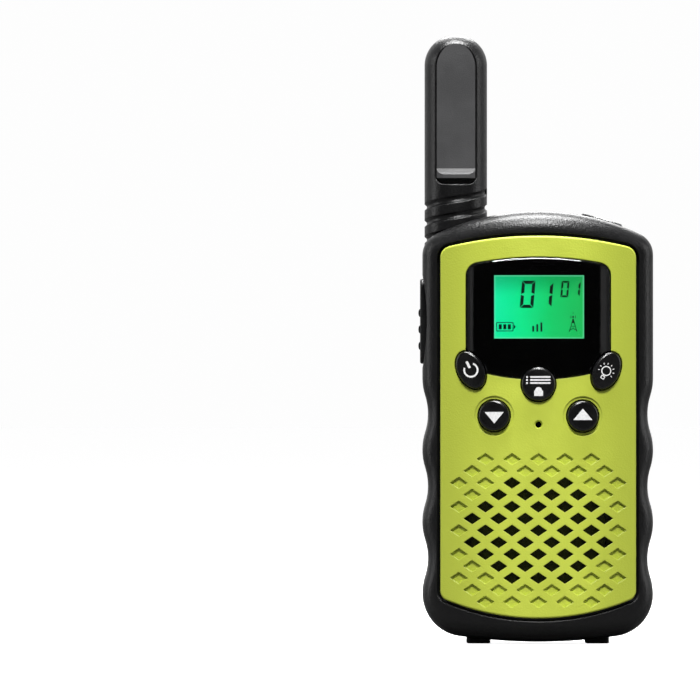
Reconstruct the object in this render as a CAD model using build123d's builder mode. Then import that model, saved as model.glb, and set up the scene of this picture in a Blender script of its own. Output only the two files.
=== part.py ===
from build123d import *
import os
from math import cos, hypot, radians, sin, sqrt

os.makedirs("parts", exist_ok=True)

# Toy walkie talkie. Millimetres. The front faces -Y, up is +Z, the origin is under the middle of the feet.

# Housing outline, seen from the front
half_width = 27.6
grip_depth, grip_pitch, grip_top = 1.35, 17.3, 55.0
crown, crown_radius, crown_corner = 103.5, 57.8, 5.5
keel, keel_radius, keel_corner = 0.55, 139.0, 10.0

# Housing depth: the front is bowed to a cylinder that stands on bow_centre
bow_centre, front_radius = 40.0, 56.0
back = 9.5
parting, seam, tongue = -5.06, 0.06, 0.8
front_round, back_round = 4.6, 3.4
wall = 1.6
floor_radius, inner_radius = 54.2, 53.0

# Outlines of bowed panels: half width, top, top radius, top corner, bottom, bottom radius, bottom corner
plate_outline = (23.4, 97.6, 92.4, 2.9, 6.2, 58.3, 2.4)
lens_outline = (17.16, 92.4, 79.6, 3.0, 63.4, 56.6, 3.0)
cavity_outline = (24.4, 101.2, 55.5, 3.3, 2.8, 137.0, 7.8)
plate_face, lens_face, key_face = 56.3, 56.5, 57.4

# Keys: centre x, centre z, semi-axis across, semi-axis along, lean of the long axis
key_gap, key_travel, flange_lip, stem_end = 0.3, 0.6, 0.55, -7.8
power_key = (-16.13, 65.5, 3.15, 4.8, 28)
light_key = (16.2, 65.3, 3.15, 4.8, -28)
menu_key = (0.0, 62.2, 4.05, 4.05, 0)
down_key = (-10.58, 54.6, 3.72, 3.72, 0)
up_key = (10.58, 54.5, 3.72, 3.72, 0)
keys = (power_key, light_key, menu_key, down_key, up_key)

# Display
window_x, window_z, window_w, window_h = 0.17, 80.6, 21.3, 15.1
glass_w, glass_h = 26.4, 20.4

# Loudspeaker grille: pitch between columns and rows, size of one diamond
speaker_z, speaker_radius = 27.2, 18.0
col_pitch, row_pitch, diamond_w, diamond_h, blind_depth = 6.32, 2.84, 4.16, 2.82, 0.55
mic_z, mic_hole = 52.5, 0.72

# Hollow beside the talk key, and the torch lamp in the crown
scoop_radius, scoop_depth = 63.8, 1.0
torch_x, torch_y, torch_radius = 15.4, 0.5, 5.0

# Circuit board
board_front, board_back, board_half = -6.2, -5.0, 20.6
boss_points = ((-20.2, 59.6), (20.2, 59.6), (-18.6, 83.6), (18.6, 83.6))
board_screw_points = ((-6.0, 95.2), (6.0, 95.2))

# Batteries
cell_dia, cell_length, cell_pitch, cell_y = 10.5, 44.5, 10.8, 2.2
bay_half, bay_bottom, bay_top = 21.9, 6.9, 54.9
door_half, door_bottom, door_top, door_inner = 22.6, 6.5, 55.4, 8.2
hinge_y, hinge_z = 8.5, 7.4

# Antenna
ant_x, ant_y, ant_radius, ant_top, ant_seat = -19.6, 1.0, 7.5, 145.8, 94.7
spigot_radius, spigot_end, bore_radius = 5.5, 89.4, 4.5
groove_lead, groove_start, pad_flat = 7.8, 96.7, 5.3

# Push-to-talk key
ptt_face, ptt_bottom, ptt_top, ptt_front, ptt_back, ptt_travel = -28.18, 67.0, 87.4, -3.7, 4.1, 0.8

# Belt clip
pivot_y, pivot_z, pin_radius, clip_half = 12.4, 88.5, 1.2, 8.0
clip_inner, clip_outer = 15.0, 16.9

# Headset socket and its cover
jack_y, jack_z, jack_bore = -0.2, 76.0, 1.3
flap_y, flap_x, flap_thick = 2.9, 27.05, 0.9


def blend(half, apex, radius, corner, up):
    """Start, middle and end of the corner arc between an arched edge and a straight side."""
    centre = apex - up * radius
    lean = (half - corner) / (radius - corner)
    rise = up * sqrt(1 - lean**2)
    level = centre + rise * (radius - corner)
    reach = corner / hypot(lean + 1, rise)
    middle = (half - corner + (lean + 1) * reach, level + rise * reach)
    return (lean * radius, centre + rise * radius), middle, (half, level)


def arch(half, apex, radius, corner, up):
    """Draw an arched edge with a rounded corner at each end; returns the level where the sides begin."""
    start, middle, end = blend(half, apex, radius, corner, up)
    ThreePointArc((-start[0], start[1]), (0, apex), start)
    for s in (1, -1):
        ThreePointArc((s * start[0], start[1]), (s * middle[0], middle[1]), (s * end[0], end[1]))
    return end[1]


def arched_face(half, top, top_radius, top_corner, bottom, bottom_radius, bottom_corner, grow=0.0):
    """Face of a panel with straight sides and arched ends, grown evenly by grow."""
    half = half + grow
    with BuildLine() as path:
        upper = arch(half, top + grow, top_radius + grow, top_corner + grow, 1)
        lower = arch(half, bottom - grow, bottom_radius + grow, bottom_corner + grow, -1)
        for s in (1, -1):
            Line((s * half, upper), (s * half, lower))
    make_face(path.edges())


def housing_face():
    """Face of the housing outline with three finger grooves in each side."""
    middle, quarter = half_width - grip_depth / 2, grip_pitch / 4
    with BuildLine() as path:
        upper = arch(half_width, crown, crown_radius, crown_corner, 1)
        lower = arch(half_width, keel, keel_radius, keel_corner, -1)
        for s in (1, -1):
            straight_end = grip_top + 2 * quarter
            Line((s * half_width, upper), (s * half_width, straight_end))
            TangentArc((s * half_width, straight_end), (s * middle, straight_end - quarter), tangent=(0, -1))
            for i in range(3):
                z = grip_top - i * grip_pitch
                ThreePointArc((s * middle, z + quarter), (s * (half_width - grip_depth), z),
                              (s * middle, z - quarter))
                if i < 2:
                    ThreePointArc((s * middle, z - quarter), (s * half_width, z - 2 * quarter),
                                  (s * middle, z - 3 * quarter))
            last = grip_top - 2 * grip_pitch - quarter
            TangentArc((s * half_width, lower), (s * middle, last), tangent=(0, 1))
    make_face(path.edges())


def panel(outline, rear, front, grow=0.0, mode=Mode.ADD):
    """Block with an arched outline from y = rear forward to y = front."""
    with BuildSketch(Plane.XZ.offset(-rear)) as face:
        arched_face(*outline, grow=grow)
    extrude(face.sketch, amount=rear - front, mode=mode)


def bow(radius, mode=Mode.INTERSECT):
    """Keep or cut what lies inside the cylinder the front is bowed to."""
    with BuildSketch(Plane.XY.offset(-5)) as disc:
        with Locations((0, bow_centre)):
            Circle(radius)
    extrude(disc.sketch, amount=160, mode=mode)


def bar(x0, x1, y0, y1, z0, z1, mode=Mode.ADD):
    """Box between six planes."""
    with Locations(((x0 + x1) / 2, (y0 + y1) / 2, (z0 + z1) / 2)):
        Box(x1 - x0, y1 - y0, z1 - z0, mode=mode)


def round_y(x, z, radius, rear, front, mode=Mode.ADD):
    """Cylinder along Y from y = rear forward to y = front."""
    with BuildSketch(Plane.XZ.offset(-rear)) as disc:
        with Locations((x, z)):
            Circle(radius)
    extrude(disc.sketch, amount=rear - front, mode=mode)


def round_x(y, z, radius, x0, x1, mode=Mode.ADD):
    """Cylinder along X."""
    with BuildSketch(Plane.YZ.offset(x0)) as disc:
        with Locations((y, z)):
            Circle(radius)
    extrude(disc.sketch, amount=x1 - x0, mode=mode)


def round_z(x, y, radius, z0, z1, mode=Mode.ADD):
    """Cylinder along Z."""
    with BuildSketch(Plane.XY.offset(z0)) as disc:
        with Locations((x, y)):
            Circle(radius)
    extrude(disc.sketch, amount=z1 - z0, mode=mode)


def key_face_shape(key, grow, rear, front, mode=Mode.ADD):
    """Prism with the outline of a key, grown by grow."""
    x, z, across, along, lean = key
    with BuildSketch(Plane.XZ.offset(-rear)) as face:
        with Locations((x, z)):
            Ellipse(across + grow, along + grow, rotation=lean)
    extrude(face.sketch, amount=rear - front, mode=mode)


def key_body(key):
    """A key: bowed cap, retaining lip behind the housing floor and a short stem."""
    x, z, across, along, lean = key
    half = hypot(across * cos(radians(lean)), along * sin(radians(lean)))
    reach = abs(x) + half + flange_lip
    lip_front = bow_centre - sqrt(inner_radius**2 - reach**2) + 0.32
    key_face_shape(key, 0.0, lip_front, -20.0)
    bow(key_face)
    crest = faces().filter_by(GeomType.CYLINDER).filter_by(lambda f: abs(f.radius - key_face) < 0.01)
    fillet(crest.edges(), 0.75)
    key_face_shape(key, flange_lip, lip_front + 0.7, lip_front)
    if stem_end - lip_front > 0.75:
        round_y(x, z, 1.8, stem_end, lip_front + 0.7)


def diamond_points(through):
    """Centres of the grille diamonds that go through, or of the blind ones."""
    points = []
    for row in range(-6, 7):
        open_half = {6: -1, 5: -1, 4: 1.0, 3: 1.5, 2: 2.0, 1: 1.5, 0: 2.0}[abs(row)]
        all_half = {6: 2.0, 5: 2.5, 4: 3.0, 3: 2.5, 2: 3.0, 1: 2.5, 0: 3.0}[abs(row)]
        col = -all_half
        while col <= all_half:
            is_open = abs(col) <= open_half
            skipped = abs(row) == 1 and abs(col) > 1.5 and not is_open
            if abs(row) == 1:
                is_open, skipped = True, False
            if is_open == through and not skipped:
                points.append((col * col_pitch, speaker_z + row * row_pitch))
            col += 1
    return points


def diamonds(points, rear, front, taper=0.0, mode=Mode.SUBTRACT):
    """Diamond prisms at the given centres."""
    w, h = diamond_w / 2, diamond_h / 2
    with BuildSketch(Plane.XZ.offset(-rear)) as field:
        with Locations(*points):
            Polygon((-w, 0), (0, -h), (w, 0), (0, h), align=None)
    extrude(field.sketch, amount=rear - front, taper=taper, mode=mode)


def spun(points, turn):
    """Solid of revolution: a closed outline of points, and the pair of its plane and its axis."""
    with BuildSketch(turn[0]) as profile:
        Polygon(*points, align=None)
    revolve(profile.sketch, axis=turn[1])


def write(builder, name):
    """Label a finished part and write its STEP file."""
    builder.part.label = name
    export_step(builder.part, f"parts/{name}.step")


# ---------------------------------------------------------------- housing

with BuildPart() as housing_block:
    with BuildSketch(Plane.XZ.offset(20)):
        housing_face()
    extrude(amount=-20 - back)
    bow(front_radius)
    bowed = faces().filter_by(GeomType.CYLINDER).filter_by(lambda f: abs(f.radius - front_radius) < 0.01)
    fillet(bowed.edges(), front_round)
    fillet(faces().sort_by(Axis.Y)[-1].edges(), back_round)

with BuildPart() as plate_pocket:
    panel(plate_outline, 0, -20, grow=0.75)
    bow(floor_radius, Mode.SUBTRACT)

with BuildPart() as cavity:
    panel(cavity_outline, back - wall, -20)
    bow(inner_radius)


def socket_cuts():
    """Openings both halves of the housing share: antenna seat, torch hole and the hollow by the talk key."""
    round_z(ant_x, ant_y, ant_radius + 0.15, ant_seat, 120, Mode.SUBTRACT)
    round_z(ant_x, ant_y, spigot_radius + 0.1, spigot_end - 0.2, ant_seat, Mode.SUBTRACT)
    round_y(-half_width + scoop_depth - scoop_radius, (ptt_bottom + ptt_top) / 2, scoop_radius,
            20, -20, Mode.SUBTRACT)


with BuildPart() as front_shell:
    add(housing_block.part)
    split(bisect_by=Plane.XZ.offset(-parting + seam), keep=Keep.TOP)
    add(cavity.part, mode=Mode.SUBTRACT)
    panel(cavity_outline, parting + 0.1, parting - 1.0, grow=tongue + 0.05, mode=Mode.SUBTRACT)
    add(plate_pocket.part, mode=Mode.SUBTRACT)
    socket_cuts()
    for key in keys:
        key_face_shape(key, key_gap, 0, -20, Mode.SUBTRACT)
    bar(window_x - 13.7, window_x + 13.7, -20, -8, window_z - 10.7, window_z + 10.7, Mode.SUBTRACT)
    round_y(0, speaker_z, 16.5, 0, -20, Mode.SUBTRACT)
    round_y(0, mic_z, 3.0, 0, -20, Mode.SUBTRACT)
    for x, z in boss_points:
        round_y(x, z, 2.2, parting, -9.2)
    for x, z in board_screw_points:
        round_y(x, z, 1.7, board_front, -13.2)
    for x, z in boss_points:
        round_y(x, z, 1.1, parting, -9.3, Mode.SUBTRACT)
    for x, z in board_screw_points:
        round_y(x, z, 0.85, board_front, -10.5, Mode.SUBTRACT)
    for x in (-14.2, 14.2):
        bar(x - 2.9, x + 2.9, -6.0, 4.0, -1, 2.0, Mode.SUBTRACT)
write(front_shell, "front_shell")

torch_z = crown - crown_radius + sqrt(crown_radius**2 - torch_x**2)
torch_plane = Plane(origin=(torch_x, torch_y, torch_z), x_dir=(0, 1, 0),
                    z_dir=(torch_x, 0, torch_z - crown + crown_radius))

with BuildPart() as rear_shell:
    add(housing_block.part)
    split(bisect_by=Plane.XZ.offset(-parting - seam), keep=Keep.BOTTOM)
    panel(cavity_outline, parting + 0.5, parting - 0.9, grow=tongue)
    add(cavity.part, mode=Mode.SUBTRACT)
    # battery box
    bar(-bay_half - 1.5, bay_half + 1.5, -4.6, back - wall, 4.9, bay_top + 1.5)
    bar(-bay_half, bay_half, -3.4, back + 1, bay_bottom, bay_top, Mode.SUBTRACT)
    bar(-door_half - 0.3, door_half + 0.3, back - wall, back + 1, door_bottom - 0.5, door_top + 0.3,
        Mode.SUBTRACT)
    round_x(hinge_y, hinge_z, 0.55, -door_half - 1.3, door_half + 1.3, Mode.SUBTRACT)
    round_x(hinge_y, hinge_z, 1.3, -door_half - 0.3, door_half + 0.3, Mode.SUBTRACT)
    bar(-6.5, 6.5, 5.8, back, bay_top - 0.1, door_top + 0.35, Mode.SUBTRACT)
    # antenna boss, screw bosses
    with BuildSketch(Plane.XY.offset(spigot_end - 0.2)):
        with Locations((ant_x, ant_y)):
            Rectangle(13.6, 11.9)
    extrude(amount=ant_seat - spigot_end + 6.0)
    add(housing_block.part, mode=Mode.INTERSECT)
    for x, z in boss_points:
        round_y(x, z, 2.9, back - wall, parting + 0.06)
    for x, z in boss_points:
        round_y(x, z, 1.2, 12, parting, Mode.SUBTRACT)
        round_y(x, z, 2.25, 12, 4.0, Mode.SUBTRACT)
    socket_cuts()
    # torch hole
    with BuildSketch(torch_plane.offset(-6)):
        Circle(torch_radius + 0.1)
    extrude(amount=12, mode=Mode.SUBTRACT)
    # talk key slot
    with BuildSketch(Plane.YZ.offset(-30)):
        with Locations(((ptt_front + ptt_back) / 2, (ptt_bottom + ptt_top) / 2)):
            RectangleRounded(ptt_back - ptt_front + 0.6, ptt_top - ptt_bottom + 0.6, 2.3)
    extrude(amount=7, mode=Mode.SUBTRACT)
    # headset socket recess and hole
    bar(26.25, 30, -4.0, flap_y + 1.0, jack_z - 6.3, jack_z + 6.3, Mode.SUBTRACT)
    round_x(jack_y, jack_z, 2.4, 23, 30, Mode.SUBTRACT)
    round_z(flap_x, flap_y, 0.4, jack_z - 7.0, jack_z + 7.0, Mode.SUBTRACT)
    round_z(28.0, -4.3, 1.1, jack_z - 2.5, jack_z + 2.5, Mode.SUBTRACT)
    # belt clip screws, seats of the feet
    for x in (-9.3, 9.3):
        round_y(x, pivot_z, 0.95, 12, back - wall - 1, Mode.SUBTRACT)
    for x in (-14.2, 14.2):
        bar(x - 2.9, x + 2.9, -6.0, 4.0, -1, 2.0, Mode.SUBTRACT)
write(rear_shell, "rear_shell")

with BuildPart() as rubber_feet:
    for x in (-14.2, 14.2):
        bar(x - 2.88, x + 2.88, -5.9, 3.9, 0.0, 1.98)
    fillet(edges().filter_by(Axis.Z), 1.0)
    chamfer(faces().filter_by(Axis.Z).group_by(Axis.Z)[0].edges(), 0.3)
write(rubber_feet, "rubber_feet")

with BuildPart() as blind_field:
    diamonds(diamond_points(False), -8, -20, mode=Mode.ADD)
    bow(plate_face - blind_depth, Mode.SUBTRACT)

with BuildPart() as faceplate:
    panel(plate_outline, 0, -20)
    bow(plate_face)
    crest = faces().filter_by(GeomType.CYLINDER).filter_by(lambda f: abs(f.radius - plate_face) < 0.01)
    fillet(crest.edges(), 0.45)
    bow(floor_radius + 0.03, Mode.SUBTRACT)
    panel(lens_outline, 0, -20, grow=0.22, mode=Mode.SUBTRACT)
    for x, z, across, along, lean in (down_key, up_key):
        seat = bow_centre - sqrt(plate_face**2 - x**2)
        with BuildSketch(Plane(origin=(x, seat, z), x_dir=(0, 0, 1), z_dir=(x, seat - bow_centre, 0)).offset(-0.32)):
            Circle(across + 1.0)
        extrude(amount=3.0, mode=Mode.SUBTRACT)
    for key in keys:
        key_face_shape(key, key_gap, 0, -20, Mode.SUBTRACT)
    round_y(0, mic_z, mic_hole, 0, -20, Mode.SUBTRACT)
    with BuildSketch(Plane.XZ.offset(plate_face - bow_centre - 0.35)):
        with Locations((0, mic_z)):
            Circle(mic_hole)
    extrude(amount=1.0, taper=-40, mode=Mode.SUBTRACT)
    diamonds(diamond_points(True), -8, -20)
    add(blind_field.part, mode=Mode.SUBTRACT)
write(faceplate, "faceplate")

with BuildPart() as display_lens:
    panel(lens_outline, 0, -20)
    bow(lens_face)
    crest = faces().filter_by(GeomType.CYLINDER).filter_by(lambda f: abs(f.radius - lens_face) < 0.01)
    chamfer(crest.edges(), 0.3)
    bow(55.1, Mode.SUBTRACT)
    for key in (power_key, light_key, menu_key):
        key_face_shape(key, key_gap, 0, -20, Mode.SUBTRACT)
write(display_lens, "display_lens")

with BuildPart() as lens_mask:
    panel(lens_outline, 0, -20, grow=-0.1)
    bow(55.08)
    bow(54.88, Mode.SUBTRACT)
    for key in (power_key, light_key, menu_key):
        key_face_shape(key, key_gap + 0.1, 0, -20, Mode.SUBTRACT)
    bar(window_x - window_w / 2, window_x + window_w / 2, -20, -8,
        window_z - window_h / 2, window_z + window_h / 2, Mode.SUBTRACT)
write(lens_mask, "lens_mask")

with BuildPart() as lens_gasket:
    panel(lens_outline, 0, -20, grow=-0.15)
    bow(54.86)
    bow(floor_radius + 0.03, Mode.SUBTRACT)
    bar(window_x - 13.7, window_x + 13.7, -20, -8, window_z - 10.7, window_z + 10.7, Mode.SUBTRACT)
    for key in (power_key, light_key, menu_key):
        key_face_shape(key, key_gap + 0.3, 0, -20, Mode.SUBTRACT)
write(lens_gasket, "lens_gasket")

# ---------------------------------------------------------------- display stack

with BuildPart() as lcd_glass:
    bar(window_x - glass_w / 2, window_x + glass_w / 2, -13.0, -11.2,
        window_z - glass_h / 2, window_z + glass_h / 2)
write(lcd_glass, "lcd_glass")

with BuildPart() as lcd_light_guide:
    bar(window_x - 12.0, window_x + 12.0, -11.15, -8.6, window_z - 7.6, window_z + 10.0)
write(lcd_light_guide, "lcd_light_guide")

with BuildPart() as lcd_holder:
    bar(window_x - 15.0, window_x + 15.0, -10.4, -6.9, window_z - 12.0, window_z + 12.0)
    bar(window_x - 13.4, window_x + 13.4, -12, -8.5, window_z - 10.4, window_z + 10.4, Mode.SUBTRACT)
    bar(window_x - 12.2, window_x + 12.2, -12, -6, window_z - 10.2, window_z - 8.0, Mode.SUBTRACT)
    for key in (power_key, light_key):
        key_face_shape(key, flange_lip + 0.4, 0, -20, Mode.SUBTRACT)
    for x in (window_x - 14.2, window_x + 14.2):
        for z in (window_z - 8, window_z + 9):
            round_y(x, z, 0.6, board_front, -6.9)
write(lcd_holder, "lcd_holder")

with BuildPart() as zebra_connector:
    bar(window_x - 12.0, window_x + 12.0, -11.15, board_front - 0.02, window_z - 10.1, window_z - 8.1)
write(zebra_connector, "zebra_connector")

with BuildPart() as backlight_leds:
    for s in (-1, 1):
        bar(window_x + s * 12.65 - 0.6, window_x + s * 12.65 + 0.6, -10.9, -8.7, window_z - 1.5, window_z + 1.5)
write(backlight_leds, "backlight_leds")

# ---------------------------------------------------------------- keys

with BuildPart() as power_button:
    key_body(power_key)
write(power_button, "power_button")

with BuildPart() as light_button:
    key_body(light_key)
write(light_button, "light_button")

with BuildPart() as menu_button:
    key_body(menu_key)
write(menu_button, "menu_button")

with BuildPart() as down_button:
    key_body(down_key)
write(down_button, "down_button")

with BuildPart() as up_button:
    key_body(up_key)
write(up_button, "up_button")

with BuildPart() as keypad_membrane:
    bar(-20.2, 20.2, board_front - 0.4, board_front, 49.6, 68.2)
    for x, z in boss_points:
        round_y(x, z, 2.6, 0, -12, Mode.SUBTRACT)
    round_y(0, mic_z, 3.3, 0, -12, Mode.SUBTRACT)
    for x, z, across, along, lean in keys:
        round_y(x, z, 1.6, board_front - 0.4, board_front - 0.7)
write(keypad_membrane, "keypad_membrane")

with BuildPart() as ptt_button:
    middle_y, middle_z = (ptt_front + ptt_back) / 2, (ptt_bottom + ptt_top) / 2
    with BuildSketch(Plane.YZ.offset(ptt_face)):
        with Locations((middle_y, middle_z)):
            RectangleRounded(ptt_back - ptt_front, ptt_top - ptt_bottom, 2.0)
    extrude(amount=-23.3 - ptt_face)
    fillet(faces().sort_by(Axis.X)[0].edges(), 0.5)
    bar(-24.1, -23.3, ptt_front - 0.8, ptt_back + 0.8, ptt_bottom - 1.2, ptt_top + 1.2)
    for z in (79.2, 75.25, 71.3):
        with BuildSketch(Plane.XZ.offset(-ptt_back + 1.2)) as rib:
            with Locations((ptt_face, z)):
                Ellipse(0.4, 0.95)
        extrude(amount=ptt_back - ptt_front - 2.4)
    fillet(faces().sort_by(Axis.X)[-1].edges(), 0.25)
write(ptt_button, "ptt_button")

with BuildPart() as ptt_switch:
    bar(-20.9, -17.0, board_back, -1.4, 74.0, 80.0)
    round_x(-3.2, 77.0, 0.9, -22.1, -20.9)
write(ptt_switch, "ptt_switch")

# ---------------------------------------------------------------- sound

speaker_axis = (Plane.YZ, Axis((0, 0, speaker_z), (0, 1, 0)))


def speaker_profile(points):
    """Profile points given as (y, radius) about the loudspeaker axis."""
    return [(y, speaker_z + r) for y, r in points]


with BuildPart() as speaker_cloth:
    round_y(0, speaker_z, 16.3, 0, -20)
    bow(floor_radius)
    bow(floor_radius - 0.35, Mode.SUBTRACT)
write(speaker_cloth, "speaker_cloth")

with BuildPart() as speaker_gasket:
    round_y(0, speaker_z, speaker_radius - 0.1, -9.65, -20)
    bow(inner_radius - 0.02)
    round_y(0, speaker_z, 16.5, 0, -20, Mode.SUBTRACT)
write(speaker_gasket, "speaker_gasket")

with BuildPart() as speaker_basket:
    spun(speaker_profile([(-9.6, 16.6), (-9.6, 18.0), (-8.6, 18.0), (-6.6, 10.5), (-6.6, 4.2), (-7.1, 4.2),
                          (-7.1, 9.9), (-8.95, 16.6)]), speaker_axis)
write(speaker_basket, "speaker_basket")

with BuildPart() as speaker_cone:
    spun(speaker_profile([(-9.5, 0.0), (-9.3, 2.6), (-8.3, 4.6), (-7.8, 6.0), (-8.9, 12.8), (-9.5, 14.2),
                          (-9.1, 15.8), (-9.1, 16.4), (-8.97, 16.4), (-8.97, 15.8), (-9.35, 14.2), (-8.75, 12.8),
                          (-7.62, 6.0), (-8.15, 4.5), (-9.15, 2.5), (-9.35, 0.0)]), speaker_axis)
write(speaker_cone, "speaker_cone")

with BuildPart() as speaker_magnet:
    round_y(0, speaker_z, 8.5, -4.8, -6.55)
    round_y(0, speaker_z, 3.9, -6.55, -7.3)
write(speaker_magnet, "speaker_magnet")

with BuildPart() as microphone:
    round_y(0, mic_z, 3.0, board_front, -8.9)
    fillet(edges().filter_by(GeomType.CIRCLE).sort_by(Axis.Y)[0], 0.3)
write(microphone, "microphone")

with BuildPart() as mic_boot:
    round_y(0, mic_z, 2.9, -8.95, -13.9)
    round_y(0, mic_z, 1.0, 0, -20, Mode.SUBTRACT)
write(mic_boot, "mic_boot")

# ---------------------------------------------------------------- board

with BuildPart() as main_board:
    bar(-board_half, board_half, board_front, board_back, 47.4, 97.0)
    bar(-30, -11.2, -8, -4, 93.0, 99, Mode.SUBTRACT)
    for x, z in boss_points:
        round_y(x, z, 3.1, 0, -12, Mode.SUBTRACT)
    for x, z in board_screw_points:
        round_y(x, z, 0.95, 0, -12, Mode.SUBTRACT)
write(main_board, "main_board")

with BuildPart() as board_chips:
    for x, z, w, h, d in ((-8.0, 66.0, 9.0, 9.0, 1.2), (6.5, 63.5, 6.0, 5.0, 1.0), (12.5, 68.5, 3.2, 2.5, 1.0),
                          (-1.5, 62.0, 1.6, 0.8, 0.6), (-1.5, 64.5, 1.6, 0.8, 0.6), (14.0, 74.5, 2.0, 1.25, 0.8),
                          (-13.5, 72.0, 2.0, 1.25, 0.8), (1.0, 70.8, 4.9, 2.0, 1.3), (10.0, 73.0, 1.6, 0.8, 0.6)):
        bar(x - w / 2, x + w / 2, board_back, board_back + d, z - h / 2, z + h / 2)
write(board_chips, "board_chips")

with BuildPart() as rf_shield:
    bar(-9.0, 9.0, board_back, board_back + 2.6, 75.5, 91.5)
    fillet(edges().filter_by(Axis.Y), 1.0)
    bar(-8.75, 8.75, board_back - 1, board_back + 2.35, 75.75, 91.25, Mode.SUBTRACT)
write(rf_shield, "rf_shield")

# ---------------------------------------------------------------- antenna

with BuildPart() as antenna_cover:
    round_z(ant_x, ant_y, ant_radius, ant_seat, ant_top)
    fillet(edges().filter_by(GeomType.CIRCLE).sort_by(Axis.Z)[-1], ant_radius - 0.3)
    round_z(ant_x, ant_y, spigot_radius, spigot_end, ant_seat)
    for start, turns in ((groove_start - groove_lead / 2, 2.0), (groove_start, 1.5)):
        with BuildLine() as lead:
            Helix(groove_lead, turns * groove_lead, ant_radius + 0.35, center=(ant_x, ant_y, start))
        with BuildSketch(Plane(origin=lead.line @ 0, z_dir=lead.line % 0)):
            Circle(0.9)
        sweep(path=lead.line, is_frenet=True, mode=Mode.SUBTRACT)
    round_z(ant_x, ant_y, bore_radius, spigot_end - 1, 136.0, Mode.SUBTRACT)
    with BuildSketch(Plane.XZ.offset(-ant_y + pad_flat)) as pad_recess:
        with Locations((ant_x, 124.0)):
            Rectangle(9.8, 28.0)
        with Locations((ant_x, 138.0)):
            Ellipse(4.9, 6.0)
        fillet(pad_recess.vertices().sort_by(Axis.Y)[:2], 2.0)
    extrude(amount=6, mode=Mode.SUBTRACT)
write(antenna_cover, "antenna_cover")

pad_front = ant_y - pad_flat - 0.45

with BuildPart() as pad_ramp:
    with BuildSketch(Plane.YZ.offset(ant_x - 4.6)):
        Polygon((pad_front, 113.8), (pad_front - 0.4, 112.9), (pad_front - 1.05, 112.4), (pad_front - 1.05, 111.5),
                (pad_front + 0.45, 111.5), (pad_front + 0.45, 113.8), align=None)
    extrude(amount=9.2)
    round_z(ant_x, ant_y, ant_radius - 0.02, 105, 120, Mode.INTERSECT)

with BuildPart() as antenna_pad:
    with BuildSketch(Plane.XZ.offset(-ant_y + pad_flat)):
        with Locations((ant_x, 125.2)):
            Rectangle(9.2, 25.6)
        with Locations((ant_x, 138.0)):
            Ellipse(4.6, 5.7)
    extrude(amount=0.45)
    add(pad_ramp.part)
write(antenna_pad, "antenna_pad")

with BuildPart() as antenna_core:
    round_z(ant_x, ant_y, 2.0, spigot_end - 2.0, 134.0)
    round_z(ant_x, ant_y, bore_radius - 0.05, spigot_end, spigot_end + 3)
write(antenna_core, "antenna_core")

with BuildPart() as antenna_coil:
    with BuildLine() as winding:
        Helix(2.0, 38.0, 2.6, center=(ant_x, ant_y, 93.0))
    with BuildSketch(Plane(origin=winding.line @ 0, z_dir=winding.line % 0)):
        Circle(0.45)
    sweep(path=winding.line, is_frenet=True)
write(antenna_coil, "antenna_coil")

# ---------------------------------------------------------------- torch

with BuildPart() as torch_lens:
    with BuildSketch(torch_plane.offset(-1.6)):
        Circle(torch_radius)
    extrude(amount=2.0)
    fillet(faces().sort_by(Axis.Z)[-1].edges(), 0.35)
write(torch_lens, "torch_lens")

with BuildPart() as torch_reflector:
    with BuildSketch(torch_plane.offset(-5.2)):
        Circle(2.2)
    with BuildSketch(torch_plane.offset(-1.65)):
        Circle(4.95)
    loft()
    with BuildSketch(torch_plane.offset(-5.2)):
        Circle(1.6)
    with BuildSketch(torch_plane.offset(-1.65)):
        Circle(4.4)
    loft(mode=Mode.SUBTRACT)
write(torch_reflector, "torch_reflector")

with BuildPart() as torch_led:
    with BuildSketch(torch_plane.offset(-6.6)):
        Circle(1.5)
    extrude(amount=3.0)
    with BuildSketch(torch_plane.offset(-6.6)):
        Circle(1.8)
    extrude(amount=0.6)
write(torch_led, "torch_led")

# ---------------------------------------------------------------- power

with BuildPart() as aaa_cells:
    for i in range(4):
        x = (i - 1.5) * cell_pitch
        base = bay_top - 0.3 - cell_length if i % 2 == 0 else bay_bottom + 0.3
        tip = base + cell_length
        case_low, case_high = (base, tip - 0.9) if i % 2 == 0 else (base + 0.9, tip)
        round_z(x, cell_y, cell_dia / 2, case_low, case_high)
        if i % 2 == 0:
            round_z(x, cell_y, 1.9, case_high, tip)
        else:
            round_z(x, cell_y, 1.9, base, case_low)
    fillet(edges().filter_by(GeomType.CIRCLE).filter_by(lambda e: e.radius > 5), 0.6)
write(aaa_cells, "aaa_cells")

with BuildPart() as contact_springs:
    for i in range(4):
        x = (i - 1.5) * cell_pitch
        start = bay_bottom + 0.6 if i % 2 == 0 else bay_top - 0.6
        way = 1 if i % 2 == 0 else -1
        with BuildLine() as coil:
            Helix(1.0, 2.2, 3.0, center=(x, cell_y, start), direction=(0, 0, way), cone_angle=-12)
        with BuildSketch(Plane(origin=coil.line @ 0, z_dir=coil.line % 0)):
            Circle(0.25)
        sweep(path=coil.line, is_frenet=True)
write(contact_springs, "contact_springs")

with BuildPart() as contact_plates:
    bar(-21.3, -11.3, -2.0, 6.4, bay_bottom, bay_bottom + 0.3)
    bar(-10.3, 10.3, -2.0, 6.4, bay_bottom, bay_bottom + 0.3)
    bar(11.3, 21.3, -2.0, 6.4, bay_bottom, bay_bottom + 0.3)
    bar(-21.3, -0.5, -2.0, 6.4, bay_top - 0.3, bay_top)
    bar(0.5, 21.3, -2.0, 6.4, bay_top - 0.3, bay_top)
write(contact_plates, "contact_plates")

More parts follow.
